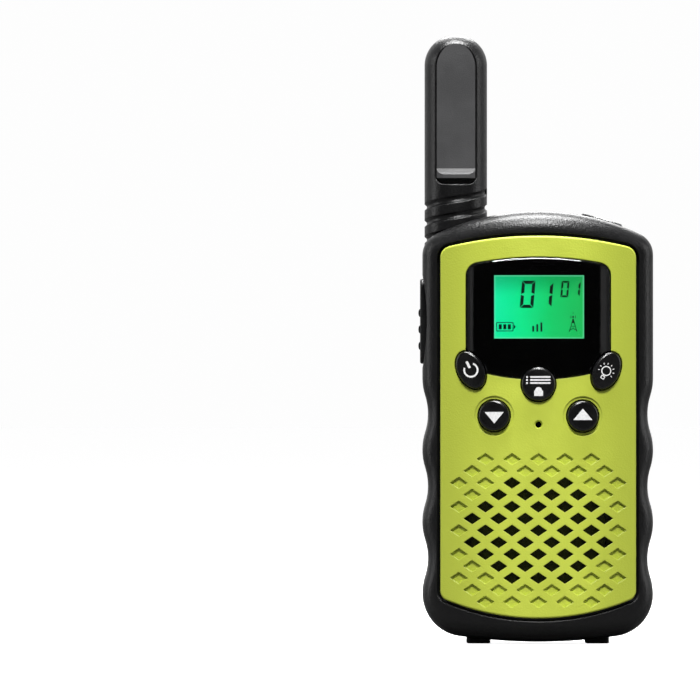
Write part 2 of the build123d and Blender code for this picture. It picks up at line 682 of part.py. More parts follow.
with BuildPart() as battery_door:
    with BuildSketch(Plane.XZ.offset(-back)):
        with Locations((0, (door_bottom + door_top) / 2)):
            RectangleRounded(2 * door_half, door_top - door_bottom, 0.8)
    extrude(amount=back - door_inner)
    fillet(faces().sort_by(Axis.Z)[0].edges().filter_by(Axis.X).sort_by(Axis.Y)[-1], 0.9)
    round_x(hinge_y, hinge_z, 0.5, -door_half - 1.0, door_half + 1.0)
    # stiffening ribs and the snap tongue
    for x in (-cell_pitch, 0, cell_pitch):
        bar(x - 0.4, x + 0.4, 7.3, door_inner, 14.0, 48.0)
    bar(-6.0, 6.0, 6.2, door_inner, bay_top + 0.05, door_top)
    # thumb grip
    for i in range(3):
        bar(-7.0, 7.0, back - 0.5, back + 0.01, 48.2 + 2.0 * i, 49.0 + 2.0 * i, Mode.SUBTRACT)
write(battery_door, "battery_door")

with BuildPart() as door_pad:
    for i in range(4):
        x = (i - 1.5) * cell_pitch
        bar(x - 3.8, x + 3.8, 7.78, door_inner, 20.0, 42.0)
write(door_pad, "door_pad")

# ---------------------------------------------------------------- belt clip

with BuildPart() as clip_bracket:
    bar(-12.0, 12.0, back, back + 0.9, pivot_z - 5.0, pivot_z + 5.0)
    fillet(edges().filter_by(Axis.Y), 2.0)
    for s in (-1, 1):
        with BuildSketch(Plane.YZ.offset(s * 5.5 - 1.0)) as ear:
            with Locations((pivot_y, pivot_z)):
                Circle(2.2)
            with Locations(((back + pivot_y) / 2, pivot_z)):
                Rectangle(pivot_y - back, 4.4)
        extrude(amount=2.0)
    round_x(pivot_y, pivot_z, pin_radius + 0.01, -8, 8, Mode.SUBTRACT)
    for x in (-9.3, 9.3):
        round_y(x, pivot_z, 1.05, 12, 9, Mode.SUBTRACT)
write(clip_bracket, "clip_bracket")

with BuildPart() as belt_clip:
    with BuildSketch(Plane.XZ.offset(-clip_outer)) as leaf:
        with Locations((0, 79.5)):
            RectangleRounded(2 * clip_half, 37.0, 3.5)
    extrude(amount=clip_outer - clip_inner)
    fillet(faces().sort_by(Axis.Y)[-1].edges(), 0.7)
    # grip lip at the free end
    with BuildSketch(Plane.YZ.offset(-clip_half + 1.2)):
        Polygon((clip_inner + 0.4, 61.4), (clip_inner + 0.4, 66.4), (clip_inner, 66.4), (10.6, 63.4), (10.1, 62.6),
                (10.4, 61.9), align=None)
    extrude(amount=2 * clip_half - 2.4)
    # knuckles
    for s in (-1, 1):
        with BuildSketch(Plane.YZ.offset(s * 3.4 - 0.7)):
            with Locations((pivot_y, pivot_z)):
                Circle(2.0)
            with Locations(((pivot_y + clip_inner + 0.3) / 2, pivot_z)):
                Rectangle(clip_inner + 0.3 - pivot_y, 4.0)
        extrude(amount=1.4)
    round_x(pivot_y, pivot_z, pin_radius + 0.05, -5, 5, Mode.SUBTRACT)
    # thumb ridges
    for i in range(4):
        bar(-5.5, 5.5, clip_outer - 0.4, clip_outer + 1, 90.2 + 1.7 * i, 91.0 + 1.7 * i, Mode.SUBTRACT)
write(belt_clip, "belt_clip")

with BuildPart() as clip_pin:
    round_x(pivot_y, pivot_z, pin_radius, -6.9, 6.9)
    chamfer(edges().filter_by(GeomType.CIRCLE), 0.2)
write(clip_pin, "clip_pin")

with BuildPart() as clip_spring:
    with BuildLine() as spring_wire:
        Helix(0.8, 4.0, 1.6, center=(-2.0, pivot_y, pivot_z), direction=(1, 0, 0))
    with BuildSketch(Plane(origin=spring_wire.line @ 0, z_dir=spring_wire.line % 0)):
        Circle(0.25)
    sweep(path=spring_wire.line, is_frenet=True)
write(clip_spring, "clip_spring")

with BuildPart() as clip_screws:
    for x in (-9.3, 9.3):
        round_y(x, pivot_z, 0.9, back + 0.9, back - wall - 0.6)
        round_y(x, pivot_z, 1.9, back + 2.0, back + 0.9)
    fillet(faces().sort_by(Axis.Y)[-2:].edges(), 0.5)
    for x in (-9.3, 9.3):
        bar(x - 1.2, x + 1.2, back + 1.3, back + 3, pivot_z - 0.25, pivot_z + 0.25, Mode.SUBTRACT)
        bar(x - 0.25, x + 0.25, back + 1.3, back + 3, pivot_z - 1.2, pivot_z + 1.2, Mode.SUBTRACT)
write(clip_screws, "clip_screws")

# ---------------------------------------------------------------- headset socket

with BuildPart() as jack_cover:
    with BuildSketch(Plane.XY.offset(jack_z - 6.0)) as flap:
        with Locations((flap_x, -0.17)):
            Rectangle(flap_thick, 7.04)
        fillet(flap.vertices().sort_by(Axis.Y)[-2:], 0.44)
    extrude(amount=12.0)
    fillet(edges().filter_by(Axis.X).sort_by(Axis.Y)[:2], 2.0)
    round_z(flap_x, flap_y, 0.35, jack_z - 6.8, jack_z + 6.8)
    for i in (-1, 0, 1):
        bar(27.35, 28, -3.0, 1.6, jack_z + 2.4 * i - 0.3, jack_z + 2.4 * i + 0.3, Mode.SUBTRACT)
write(jack_cover, "jack_cover")

with BuildPart() as headset_jack:
    bar(18.6, 24.2, -3.6, 3.2, jack_z - 3.4, jack_z + 3.4)
    round_x(jack_y, jack_z, 2.3, 24.2, 26.0)
    round_x(jack_y, jack_z, jack_bore, 17.0, 28, Mode.SUBTRACT)
write(headset_jack, "headset_jack")

# ---------------------------------------------------------------- fasteners

with BuildPart() as housing_screws:
    for x, z in boss_points:
        round_y(x, z, 1.05, 4.0, -9.2)
        round_y(x, z, 2.1, 5.5, 4.0)
    for x, z in boss_points:
        bar(x - 1.3, x + 1.3, 4.7, 8, z - 0.3, z + 0.3, Mode.SUBTRACT)
        bar(x - 0.3, x + 0.3, 4.7, 8, z - 1.3, z + 1.3, Mode.SUBTRACT)
write(housing_screws, "housing_screws")

with BuildPart() as board_screws:
    for x, z in board_screw_points:
        round_y(x, z, 0.8, board_back, -10.3)
        round_y(x, z, 1.7, board_back + 1.1, board_back)
        bar(x - 1.0, x + 1.0, board_back + 0.6, board_back + 3, z - 0.25, z + 0.25, Mode.SUBTRACT)
write(board_screws, "board_screws")
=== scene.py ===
"""Finishes, printed marks and lighting for the toy walkie talkie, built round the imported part."""

from __future__ import annotations

import logging
import math
from dataclasses import dataclass, field
from enum import Enum
from typing import Callable, Iterable, Sequence, Union

import bmesh
import bpy
from mathutils import Matrix, Vector


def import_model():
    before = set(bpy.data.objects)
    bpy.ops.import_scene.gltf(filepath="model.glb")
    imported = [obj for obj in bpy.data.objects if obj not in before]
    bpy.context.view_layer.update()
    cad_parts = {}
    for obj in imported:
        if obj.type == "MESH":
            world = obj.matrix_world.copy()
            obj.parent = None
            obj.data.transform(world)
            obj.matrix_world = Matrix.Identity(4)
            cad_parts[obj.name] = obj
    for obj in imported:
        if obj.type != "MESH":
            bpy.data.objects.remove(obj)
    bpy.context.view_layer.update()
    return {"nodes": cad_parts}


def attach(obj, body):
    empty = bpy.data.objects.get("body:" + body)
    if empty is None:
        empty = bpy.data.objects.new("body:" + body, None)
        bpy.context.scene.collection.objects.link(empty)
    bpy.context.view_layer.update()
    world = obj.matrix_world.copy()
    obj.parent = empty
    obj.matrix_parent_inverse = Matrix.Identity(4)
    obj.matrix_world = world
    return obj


LOG = logging.getLogger("walkie_talkie")
MM = 0.001
STRIP_MM = 0.6
WELD_MM = 1e-4

Point = tuple[float, float]
Loop = list[Point]
Triple = tuple[float, float, float]
Colour = Triple
Operand = Union["Value", float, int]


def linear(red: int, green: int, blue: int) -> Colour:
    """Scene-linear colour from 0 to 255 display values."""
    parts = (c / 255 for c in (red, green, blue))
    return tuple(c / 12.92 if c <= 0.04045 else ((c + 0.055) / 1.055) ** 2.4 for c in parts)


# ------------------------------------------------------------------ shader arithmetic


class Value:
    """A number that changes over a surface, with ordinary arithmetic."""

    def __init__(self, sheet: "NodeSheet", socket: bpy.types.NodeSocket) -> None:
        """Wrap one output socket.

        Args:
            sheet: The node sheet that owns the socket.
            socket: The output socket to read.
        """
        self.sheet = sheet
        self.socket = socket

    def _math(self, operation: str, first: Operand, second: Operand) -> "Value":
        """Add one Math node.

        Args:
            operation: The node's operation.
            first: Its first operand.
            second: Its second operand.

        Returns:
            The node's result.
        """
        return self.sheet.node("ShaderNodeMath", {"operation": operation}, {0: first, 1: second}).value()

    def __add__(self, other: Operand) -> "Value":
        """Sum."""
        return self._math("ADD", self, other)

    __radd__ = __add__

    def __sub__(self, other: Operand) -> "Value":
        """Difference."""
        return self._math("SUBTRACT", self, other)

    def __rsub__(self, other: Operand) -> "Value":
        """Difference with the value on the right."""
        return self._math("SUBTRACT", other, self)

    def __mul__(self, other: Operand) -> "Value":
        """Product."""
        return self._math("MULTIPLY", self, other)

    __rmul__ = __mul__

    def __truediv__(self, other: Operand) -> "Value":
        """Quotient."""
        return self._math("DIVIDE", self, other)

    def __pow__(self, power: Operand) -> "Value":
        """Power."""
        return self._math("POWER", self, power)

    def __abs__(self) -> "Value":
        """Size without sign."""
        return self._math("ABSOLUTE", self, 0.0)

    def over(self, limit: Operand) -> "Value":
        """One where the value is above the limit, else zero."""
        return self._math("GREATER_THAN", self, limit)

    def lowest(self, other: Operand) -> "Value":
        """The smaller of the two."""
        return self._math("MINIMUM", self, other)

    def wave(self) -> "Value":
        """Sine of the value."""
        return self._math("SINE", self, 0.0)

    def between(self, low: float, high: float) -> "Value":
        """Smooth ramp from 0 at low to 1 at high.

        Args:
            low: Where the ramp starts.
            high: Where it ends.

        Returns:
            The ramp.
        """
        settings = {"interpolation_type": "SMOOTHSTEP"}
        return self.sheet.node("ShaderNodeMapRange", settings, {0: self, 1: low, 2: high}).value()


class Built:
    """A node that was just made, from which results are read."""

    def __init__(self, sheet: "NodeSheet", node: bpy.types.Node) -> None:
        """Wrap a node.

        Args:
            sheet: The node sheet that owns it.
            node: The node.
        """
        self.sheet = sheet
        self.node = node

    def value(self, name: Union[str, int] = 0) -> Value:
        """One of the node's outputs as a value."""
        return Value(self.sheet, self.node.outputs[name])

    def out(self, name: Union[str, int] = 0) -> bpy.types.NodeSocket:
        """One of the node's outputs as a plain socket."""
        return self.node.outputs[name]


class NodeSheet:
    """The nodes of one material or of the surroundings."""

    def __init__(self, tree: bpy.types.NodeTree) -> None:
        """Start from an empty tree.

        Args:
            tree: The tree to fill.
        """
        self.tree = tree
        self.tree.nodes.clear()

    def node(self, kind: str, settings: dict | None = None, inputs: dict | None = None) -> Built:
        """Add any node.

        Args:
            kind: The node's type.
            settings: Attributes to set before the sockets.
            inputs: Socket name or number to a value, a colour or a link.

        Returns:
            The new node.
        """
        made = self.tree.nodes.new(kind)
        for key, setting in (settings or {}).items():
            if key == "stops":
                self._set_stops(made.color_ramp, setting)
            else:
                setattr(made, key, setting)
        for key, given in (inputs or {}).items():
            if isinstance(given, Value):
                self.tree.links.new(given.socket, made.inputs[key])
            elif isinstance(given, bpy.types.NodeSocket):
                self.tree.links.new(given, made.inputs[key])
            else:
                made.inputs[key].default_value = given
        return Built(self, made)

    @staticmethod
    def _set_stops(ramp: bpy.types.ColorRamp, stops: Sequence[tuple[float, Colour]]) -> None:
        """Give a ramp its stops.

        Args:
            ramp: The ramp.
            stops: Position and colour of each stop.
        """
        while len(ramp.elements) < len(stops):
            ramp.elements.new(0.5)
        for element, (position, colour) in zip(ramp.elements, stops):
            element.position = position
            element.color = (*colour, 1.0)


class Shader(NodeSheet):
    """One material and the nodes in it."""

    def __init__(self, name: str) -> None:
        """Start an empty material.

        Args:
            name: The material's name.
        """
        self.material = bpy.data.materials.new(name)
        self.material.use_nodes = True
        super().__init__(self.material.node_tree)
        self.place = self.node("ShaderNodeTexCoord").out("Object")

    def axis(self, index: int) -> Value:
        """Distance along X, Y or Z in millimetres."""
        split = self.node("ShaderNodeSeparateXYZ", None, {0: self.place})
        return split.value(index) * 1000.0

    def noise(self, size_mm: float, detail: float = 2.0, stretch: Triple = (1.0, 1.0, 1.0)) -> Value:
        """Soft random variation.

        Args:
            size_mm: Size of one blotch.
            detail: How much finer variation is added.
            stretch: Squeeze along each axis.

        Returns:
            A value round 0.5.
        """
        scaled = self.node("ShaderNodeVectorMath", {"operation": "MULTIPLY"}, {0: self.place, 1: stretch})
        inputs = {"Vector": scaled.out(), "Scale": 1000.0 / size_mm, "Detail": detail}
        return self.node("ShaderNodeTexNoise", {"noise_dimensions": "3D"}, inputs).value(0)

    def cells(self, size_mm: float) -> Value:
        """Distance to the nearest of many scattered points, for leather-like grain."""
        inputs = {"Vector": self.place, "Scale": 1000.0 / size_mm}
        return self.node("ShaderNodeTexVoronoi", {"feature": "F1"}, inputs).value("Distance")

    def blend(self, factor: Operand, first: object, second: object) -> bpy.types.NodeSocket:
        """Mix two colours.

        Args:
            factor: Share of the second colour.
            first: Colour or link.
            second: Colour or link.

        Returns:
            The mixed colour.
        """
        pair = [c if isinstance(c, bpy.types.NodeSocket) else (*c, 1.0) for c in (first, second)]
        settings = {"data_type": "RGBA", "clamp_factor": True}
        return self.node("ShaderNodeMix", settings, {0: factor, 6: pair[0], 7: pair[1]}).out(2)

    def rounded(self, radius_mm: float) -> bpy.types.NodeSocket:
        """Surface direction with its sharp edges eased."""
        return self.node("ShaderNodeBevel", {"samples": 4}, {"Radius": radius_mm * MM}).out()

    def relief(self, height: Value, depth_mm: float, base: object = None,
               strength: float = 1.0) -> bpy.types.NodeSocket:
        """Raise and sink the surface.

        Args:
            height: Relief from 0 to 1.
            depth_mm: Its full depth.
            base: Direction the relief is added to.
            strength: How strongly it shows.

        Returns:
            The new surface direction.
        """
        inputs = {"Height": height, "Distance": depth_mm * MM, "Strength": strength}
        if base is not None:
            inputs["Normal"] = base
        return self.node("ShaderNodeBump", None, inputs).out()

    def surface(self, **inputs: object) -> bpy.types.Material:
        """Finish the material with a Principled surface.

        Args:
            **inputs: Socket names, with an underscore for each space.

        Returns:
            The material.
        """
        named = {key.replace("_", " "): given for key, given in inputs.items()}
        for key, given in list(named.items()):
            if isinstance(given, tuple) and len(given) == 3:
                named[key] = (*given, 1.0)
        body = self.node("ShaderNodeBsdfPrincipled", None, named)
        self.node("ShaderNodeOutputMaterial", None, {"Surface": body.out()})
        return self.material


# ------------------------------------------------------------------ finishes


@dataclass(frozen=True)
class GrainedPlastic:
    """Moulded plastic with a fine spark-eroded grain, with optional painted shade that darkens it towards the left and
    right edges.
    """

    name: str
    colour: Colour
    shade: Colour
    roughness: float = 0.42
    grain_mm: float = 0.22
    depth_mm: float = 0.012
    edge_mm: float = 0.15
    # painted shade: between these distances off centre the colour darkens, standing in for light falling off at the
    # bowed edges
    painted_shade_from: float = 0.0
    painted_shade_to: float = 0.0
    painted_shade_share: float = 0.8

    def make(self) -> bpy.types.Material:
        """Build the material.

        Returns:
            The finished material.
        """
        s = Shader(self.name)
        grain = s.cells(self.grain_mm)
        fine = s.noise(self.grain_mm * 0.5, 1.0)
        mottle = s.noise(9.0, 3.0)
        rub = s.noise(3.0, 4.0)
        height = grain * 0.65 + fine * 0.35
        tint = s.blend(mottle.between(0.3, 0.7), self.colour, self.shade)
        # Painted shade: darker towards the left and right edges, where the bowed face turns away from the light.
        if self.painted_shade_to:
            painted_edge_shade = tuple(c * self.painted_shade_share for c in self.shade)
            tint = s.blend(abs(s.axis(0)).between(self.painted_shade_from, self.painted_shade_to), tint, painted_edge_shade)
        rough = self.roughness + (rub - 0.5) * 0.10 + (grain - 0.4) * 0.12
        normal = s.relief(height, self.depth_mm, s.rounded(self.edge_mm), 0.55)
        return s.surface(Base_Color=tint, Roughness=rough, Normal=normal, IOR=1.49)


@dataclass(frozen=True)
class GlossPlastic:
    """Polished plastic with faint handling marks."""

    name: str
    colour: Colour
    roughness: float = 0.16
    edge_mm: float = 0.12

    def make(self) -> bpy.types.Material:
        """Build the material.

        Returns:
            The finished material.
        """
        s = Shader(self.name)
        smudge = s.noise(5.0, 4.0)
        hair = s.noise(1.2, 2.0, (1.0, 1.0, 9.0)).between(0.55, 0.75)
        lighter = tuple(c * 1.35 + 0.002 for c in self.colour)
        tint = s.blend(smudge.between(0.35, 0.75), self.colour, lighter)
        rough = self.roughness + smudge.between(0.4, 0.8) * 0.08 + hair * 0.03
        normal = s.relief(s.noise(2.5, 2.0), 0.02, s.rounded(self.edge_mm), 0.12)
        return s.surface(Base_Color=tint, Roughness=rough, Normal=normal, IOR=1.5)


@dataclass(frozen=True)
class ClearPlastic:
    """Clear moulded window or lamp glass, with optional rings."""

    name: str
    tint: Colour = (0.97, 0.98, 0.98)
    roughness: float = 0.02
    ring_mm: float = 0.0
    ring_x: float = 0.0
    ring_y: float = 0.0

    def make(self) -> bpy.types.Material:
        """Build the material.

        Returns:
            The finished material.
        """
        s = Shader(self.name)
        haze = s.noise(6.0, 3.0)
        rough = self.roughness + haze.between(0.45, 0.8) * 0.03
        if self.ring_mm:
            across, along = s.axis(0) - self.ring_x, s.axis(1) - self.ring_y
            radius = (across * across + along * along) ** 0.5
            rings = (radius * (2 * math.pi / self.ring_mm)).wave() * 0.5 + 0.5
            normal = s.relief(rings, 0.12)
        else:
            normal = s.rounded(0.1)
        return s.surface(Base_Color=self.tint, Roughness=rough, Normal=normal, IOR=1.49,
                         Transmission_Weight=1.0)


@dataclass(frozen=True)
class Metal:
    """Plated or bare metal with fine drawing lines."""

    name: str
    colour: Colour
    shade: Colour
    roughness: float = 0.3
    stretch: Triple = (1.0, 1.0, 1.0)

    def make(self) -> bpy.types.Material:
        """Build the material.

        Returns:
            The finished material.
        """
        s = Shader(self.name)
        lines = s.noise(0.5, 3.0, self.stretch)
        stain = s.noise(4.0, 4.0)
        tint = s.blend(stain.between(0.35, 0.75), self.colour, self.shade)
        rough = self.roughness + (lines - 0.5) * 0.2 + stain.between(0.5, 0.8) * 0.12
        normal = s.relief(lines, 0.01, s.rounded(0.08), 0.4)
        return s.surface(Base_Color=tint, Roughness=rough, Metallic=1.0, Normal=normal)


@dataclass(frozen=True)
class SoftRubber:
    """Matt rubber with a dusty bloom."""

    name: str
    colour: Colour = (0.018, 0.018, 0.019)
    roughness: float = 0.72

    def make(self) -> bpy.types.Material:
        """Build the material.

        Returns:
            The finished material.
        """
        s = Shader(self.name)
        bloom = s.noise(2.2, 5.0)
        speck = s.noise(0.12, 2.0)
        dusty = tuple(c * 2.6 + 0.01 for c in self.colour)
        tint = s.blend(bloom.between(0.45, 0.8) * 0.5, self.colour, dusty)
        normal = s.relief(speck, 0.02, s.rounded(0.12), 0.6)
        return s.surface(Base_Color=tint, Roughness=self.roughness + (bloom - 0.5) * 0.15, Normal=normal)


@dataclass(frozen=True)
class FeltCloth:
    """Open foam or felt with loose fibres."""

    name: str
    colour: Colour = (0.012, 0.012, 0.013)
    fibre_mm: float = 0.25

    def make(self) -> bpy.types.Material:
        """Build the material.

        Returns:
            The finished material.
        """
        s = Shader(self.name)
        strands = s.noise(self.fibre_mm, 5.0, (1.0, 1.0, 3.0))
        pores = s.cells(self.fibre_mm * 2.4)
        lighter = tuple(c * 4.0 + 0.01 for c in self.colour)
        tint = s.blend(strands.between(0.4, 0.75), self.colour, lighter)
        normal = s.relief(strands * 0.6 + pores * 0.4, 0.15)
        return s.surface(Base_Color=tint, Roughness=0.95, Normal=normal)


@dataclass(frozen=True)
class BacklitDisplay:
    """Green backlit display cell with a brighter left side and a dim top band."""

    name: str
    centre_x: float
    centre_z: float
    width: float
    height: float
    dots_per_mm: float = 16.0
    glow: float = 0.92

    def make(self) -> bpy.types.Material:
        """Build the material.

        Returns:
            The finished material.
        """
        s = Shader(self.name)
        across = (s.axis(0) - (self.centre_x - self.width / 2)) / self.width
        up = (s.axis(2) - (self.centre_z - self.height / 2)) / self.height
        cloud = s.noise(7.0, 2.0)
        stops = [(0.0, linear(0, 255, 178)), (0.3, linear(0, 246, 150)), (0.62, linear(12, 218, 112)),
                 (1.0, linear(28, 198, 92))]
        spread = s.node("ShaderNodeValToRGB", {"stops": stops}, {0: across + (cloud - 0.5) * 0.15}).out()
        dim = up.between(0.62, 1.0)
        tint = s.blend(dim * 0.55, spread, linear(10, 140, 72))
        inset = (0.5 - abs(across - 0.5)) * self.width
        inset_up = (0.5 - abs(up - 0.5)) * self.height
        border = 1.0 - inset.lowest(inset_up).between(0.18, 0.42)
        lit = s.blend(border * 0.5, tint, linear(120, 245, 190))
        dots = (s.axis(0) * self.dots_per_mm).wave() * (s.axis(2) * self.dots_per_mm).wave()
        lit = s.blend(dots.between(0.2, 0.9) * 0.10, lit, linear(0, 90, 50))
        return s.surface(Base_Color=linear(10, 60, 35), Roughness=0.35, Emission_Color=lit,
                         Emission_Strength=self.glow)


@dataclass(frozen=True)
class PrintedInk:
    """Opaque printed ink with slightly uneven edges and density."""

    name: str
    colour: Colour
    roughness: float = 0.45
    glow: float = 0.0
    index: float = 1.5

    def make(self) -> bpy.types.Material:
        """Build the material.

        Returns:
            The finished material.
        """
        s = Shader(self.name)
        density = s.noise(0.5, 4.0)
        thin = tuple(c * 0.82 for c in self.colour)
        tint = s.blend(density.between(0.35, 0.7), thin, self.colour)
        normal = s.relief(density, 0.01, None, 0.3)
        # With glow above zero the ink shines on its own: painted light, since the print is no lamp.
        return s.surface(Base_Color=tint, Roughness=self.roughness + (density - 0.5) * 0.2, Normal=normal,
                         IOR=self.index, Emission_Color=self.colour, Emission_Strength=self.glow)


@dataclass(frozen=True)
class CircuitBoard:
    """Green solder mask over copper tracks."""

    name: str
    tracks_per_mm: float = 3.4

    def make(self) -> bpy.types.Material:
        """Build the material.

        Returns:
            The finished material.
        """
        s = Shader(self.name)
        x, z = s.axis(0), s.axis(2)
        wander = s.noise(6.0, 1.0) * 6.0
        runs = ((x + wander) * self.tracks_per_mm).wave().between(0.55, 0.8)
        rises = ((z + wander) * self.tracks_per_mm).wave().between(0.55, 0.8)
        patch = s.noise(8.0, 0.0).between(0.48, 0.52)
        tracks = runs * patch + rises * (1.0 - patch)
        mask = s.blend(tracks, linear(10, 70, 38), linear(28, 112, 62))
        dust = s.noise(3.0, 4.0)
        tint = s.blend(dust.between(0.5, 0.9) * 0.3, mask, linear(60, 100, 70))
        return s.surface(Base_Color=tint, Roughness=0.28 + (dust - 0.5) * 0.1,
                         Normal=s.relief(tracks, 0.03), IOR=1.5)


@dataclass(frozen=True)
class CellSleeve:
    """Plain battery sleeve: dark body, warm band at the positive end and bare ends."""

    name: str
    low: float
    high: float
    pitch: float = 10.8

    def make(self) -> bpy.types.Material:
        """Build the material.

        Returns:
            The finished material.
        """
        s = Shader(self.name)
        x, z = s.axis(0), s.axis(2)
        rub = s.noise(2.0, 4.0)
        turned = (x * (math.pi / self.pitch) + math.pi).wave()
        band_high = (z - self.high).over(0.0)
        band_low = 1.0 - (z - self.low).over(0.0)
        right_way = turned.over(0.0)
        band = band_high * right_way + band_low * (1.0 - right_way)
        tint = s.blend(band, linear(38, 42, 48), linear(196, 132, 52))
        tint = s.blend(rub.between(0.55, 0.85) * 0.25, tint, linear(120, 120, 122))
        return s.surface(Base_Color=tint, Roughness=0.3 + (rub - 0.5) * 0.15, Metallic=0.35,
                         Normal=s.relief(rub, 0.01, None, 0.4))


class Slot(Enum):
    """The record's material slots for the marks, which this script does not use."""

    WHITE = "white_plastic"
    DISPLAY = "display"


# ------------------------------------------------------------------ flat outlines, in millimetres


def disc(x: float, z: float, radius: float, steps: int = 40, start: float = 0.0,
         sweep: float = 360.0) -> Loop:
    """Points round a circle or part of one.

    Args:
        x: Centre across.
        z: Centre up.
        radius: Radius.
        steps: Number of points.
        start: First angle in degrees.
        sweep: Angle covered in degrees.

    Returns:
        The points in order.
    """
    count = steps if sweep >= 360 else steps - 1
    turns = [math.radians(start + sweep * i / count) for i in range(steps)]
    return [(x + radius * math.cos(a), z + radius * math.sin(a)) for a in turns]


def arc_band(x: float, z: float, outer: float, inner: float, start: float, sweep: float) -> Loop:
    """A stretch of ring with square ends.

    Args:
        x: Centre across.
        z: Centre up.
        outer: Outer radius.
        inner: Inner radius.
        start: First angle in degrees.
        sweep: Angle covered in degrees.

    Returns:
        The outline.
    """
    far = disc(x, z, outer, 40, start, sweep)
    near = disc(x, z, inner, 40, start, sweep)
    return far + near[::-1]


def strip(x: float, z: float, width: float, height: float, lean: float = 0.0,
          corner: float = 0.0) -> Loop:
    """A bar, turned about its centre, with rounded corners.

    Args:
        x: Centre across.
        z: Centre up.
        width: Size across before turning.
        height: Size up before turning.
        lean: Turn to the right in degrees.
        corner: Corner radius.

    Returns:
        The outline.
    """
    half_w, half_h = width / 2 - corner, height / 2 - corner
    raw: Loop = []
    for i, (sx, sz) in enumerate(((1, 1), (-1, 1), (-1, -1), (1, -1))):
        spot = (sx * half_w, sz * half_h)
        raw += disc(*spot, corner, 5, 90.0 * i, 90.0) if corner else [spot]
    turn = math.radians(-lean)
    c, s = math.cos(turn), math.sin(turn)
    return [(x + px * c - pz * s, z + px * s + pz * c) for px, pz in raw]


def eased(corners: Loop, radius: float) -> Loop:
    """A polygon with its corners rounded.

    Args:
        corners: The sharp corners in order.
        radius: Distance from a corner where rounding starts.

    Returns:
        The rounded outline.
    """
    result: Loop = []
    count = len(corners)
    for i, here in enumerate(corners):
        before, after = Vector(corners[i - 1]), Vector(corners[(i + 1) % count])
        spot = Vector(here)
        first = spot + (before - spot).normalized() * radius
        last = spot + (after - spot).normalized() * radius
        for step in range(5):
            t = step / 4
            point = first * (1 - t) ** 2 + spot * 2 * t * (1 - t) + last * t**2
            result.append((point.x, point.y))
    return result


# ------------------------------------------------------------------ pieces


@dataclass
class Bow:
    """The upright cylinder that the front of the radio follows, in millimetres."""

    centre: float = 40.0

    def depth(self, x: float, radius: float) -> float:
        """The y of the bowed face of that radius at x."""
        return self.centre - math.sqrt(radius * radius - x * x)


@dataclass
class PieceMaker:
    """Makes thin shaped pieces and puts them on their bodies."""

    bow: Bow = field(default_factory=Bow)
    made: list[str] = field(default_factory=list)

    def plate(self, name: str, loops: Sequence[Loop], place: Callable[[float], float], thick: float,
              finish: bpy.types.Material, body: str) -> bpy.types.Object:
        """A thin plate cut from flat outlines and laid on a face.

        Args:
            name: The piece's name.
            loops: Outlines; one inside another is a hole.
            place: The y of the face at each x, in millimetres.
            thick: Thickness in millimetres.
            finish: Its material.
            body: The body that it rides on.

        Returns:
            The new object.
        """
        curve = bpy.data.curves.new(name, "CURVE")
        curve.dimensions = "2D"
        curve.fill_mode = "BOTH"
        curve.extrude = thick / 2
        for loop in loops:
            spline = curve.splines.new("POLY")
            spline.points.add(len(loop) - 1)
            for point, (x, z) in zip(spline.points, loop):
                point.co = (x, z, 0.0, 1.0)
            spline.use_cyclic_u = True
        holder = bpy.data.objects.new(name + ".outline", curve)
        bpy.context.scene.collection.objects.link(holder)
        bpy.context.view_layer.update()
        graph = bpy.context.evaluated_depsgraph_get()
        mesh = bpy.data.meshes.new_from_object(holder.evaluated_get(graph))
        bpy.data.objects.remove(holder)
        self._lay(mesh, place)
        return self.finish_piece(name, mesh, finish, body)

    @staticmethod
    def _lay(mesh: bpy.types.Mesh, place: Callable[[float], float]) -> None:
        """Cut a flat mesh into narrow strips and bend it onto a face.

        Args:
            mesh: The flat mesh, with its thickness along Z.
            place: The y of the face at each x, in millimetres.
        """
        work = bmesh.new()
        work.from_mesh(mesh)
        low = min(v.co.x for v in work.verts)
        high = max(v.co.x for v in work.verts)
        cuts = max(1, int((high - low) / STRIP_MM))
        for i in range(1, cuts):
            where = (low + (high - low) * i / cuts, 0, 0)
            parts = list(work.verts) + list(work.edges) + list(work.faces)
            bmesh.ops.bisect_plane(work, geom=parts, plane_co=where, plane_no=(1, 0, 0))
        bmesh.ops.remove_doubles(work, verts=work.verts, dist=WELD_MM)
        for vert in work.verts:
            x, z, out = vert.co
            vert.co = (x * MM, (place(x) - out) * MM, z * MM)
        bmesh.ops.recalc_face_normals(work, faces=work.faces)
        work.to_mesh(mesh)
        work.free()

    def finish_piece(self, name: str, mesh: bpy.types.Mesh, finish: bpy.types.Material, body: str) -> bpy.types.Object:
        """Turn a mesh into a piece of the object.

        Args:
            name: The piece's name.
            mesh: Its mesh, in metres.
            finish: Its material.
            body: The body that it rides on.

        Returns:
            The new object.
        """
        mesh.materials.clear()
        mesh.materials.append(finish)
        for face in mesh.polygons:
            face.use_smooth = False
        piece = bpy.data.objects.new(name, mesh)
        bpy.context.scene.collection.objects.link(piece)
        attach(piece, body)
        self.made.append(name)
        return piece


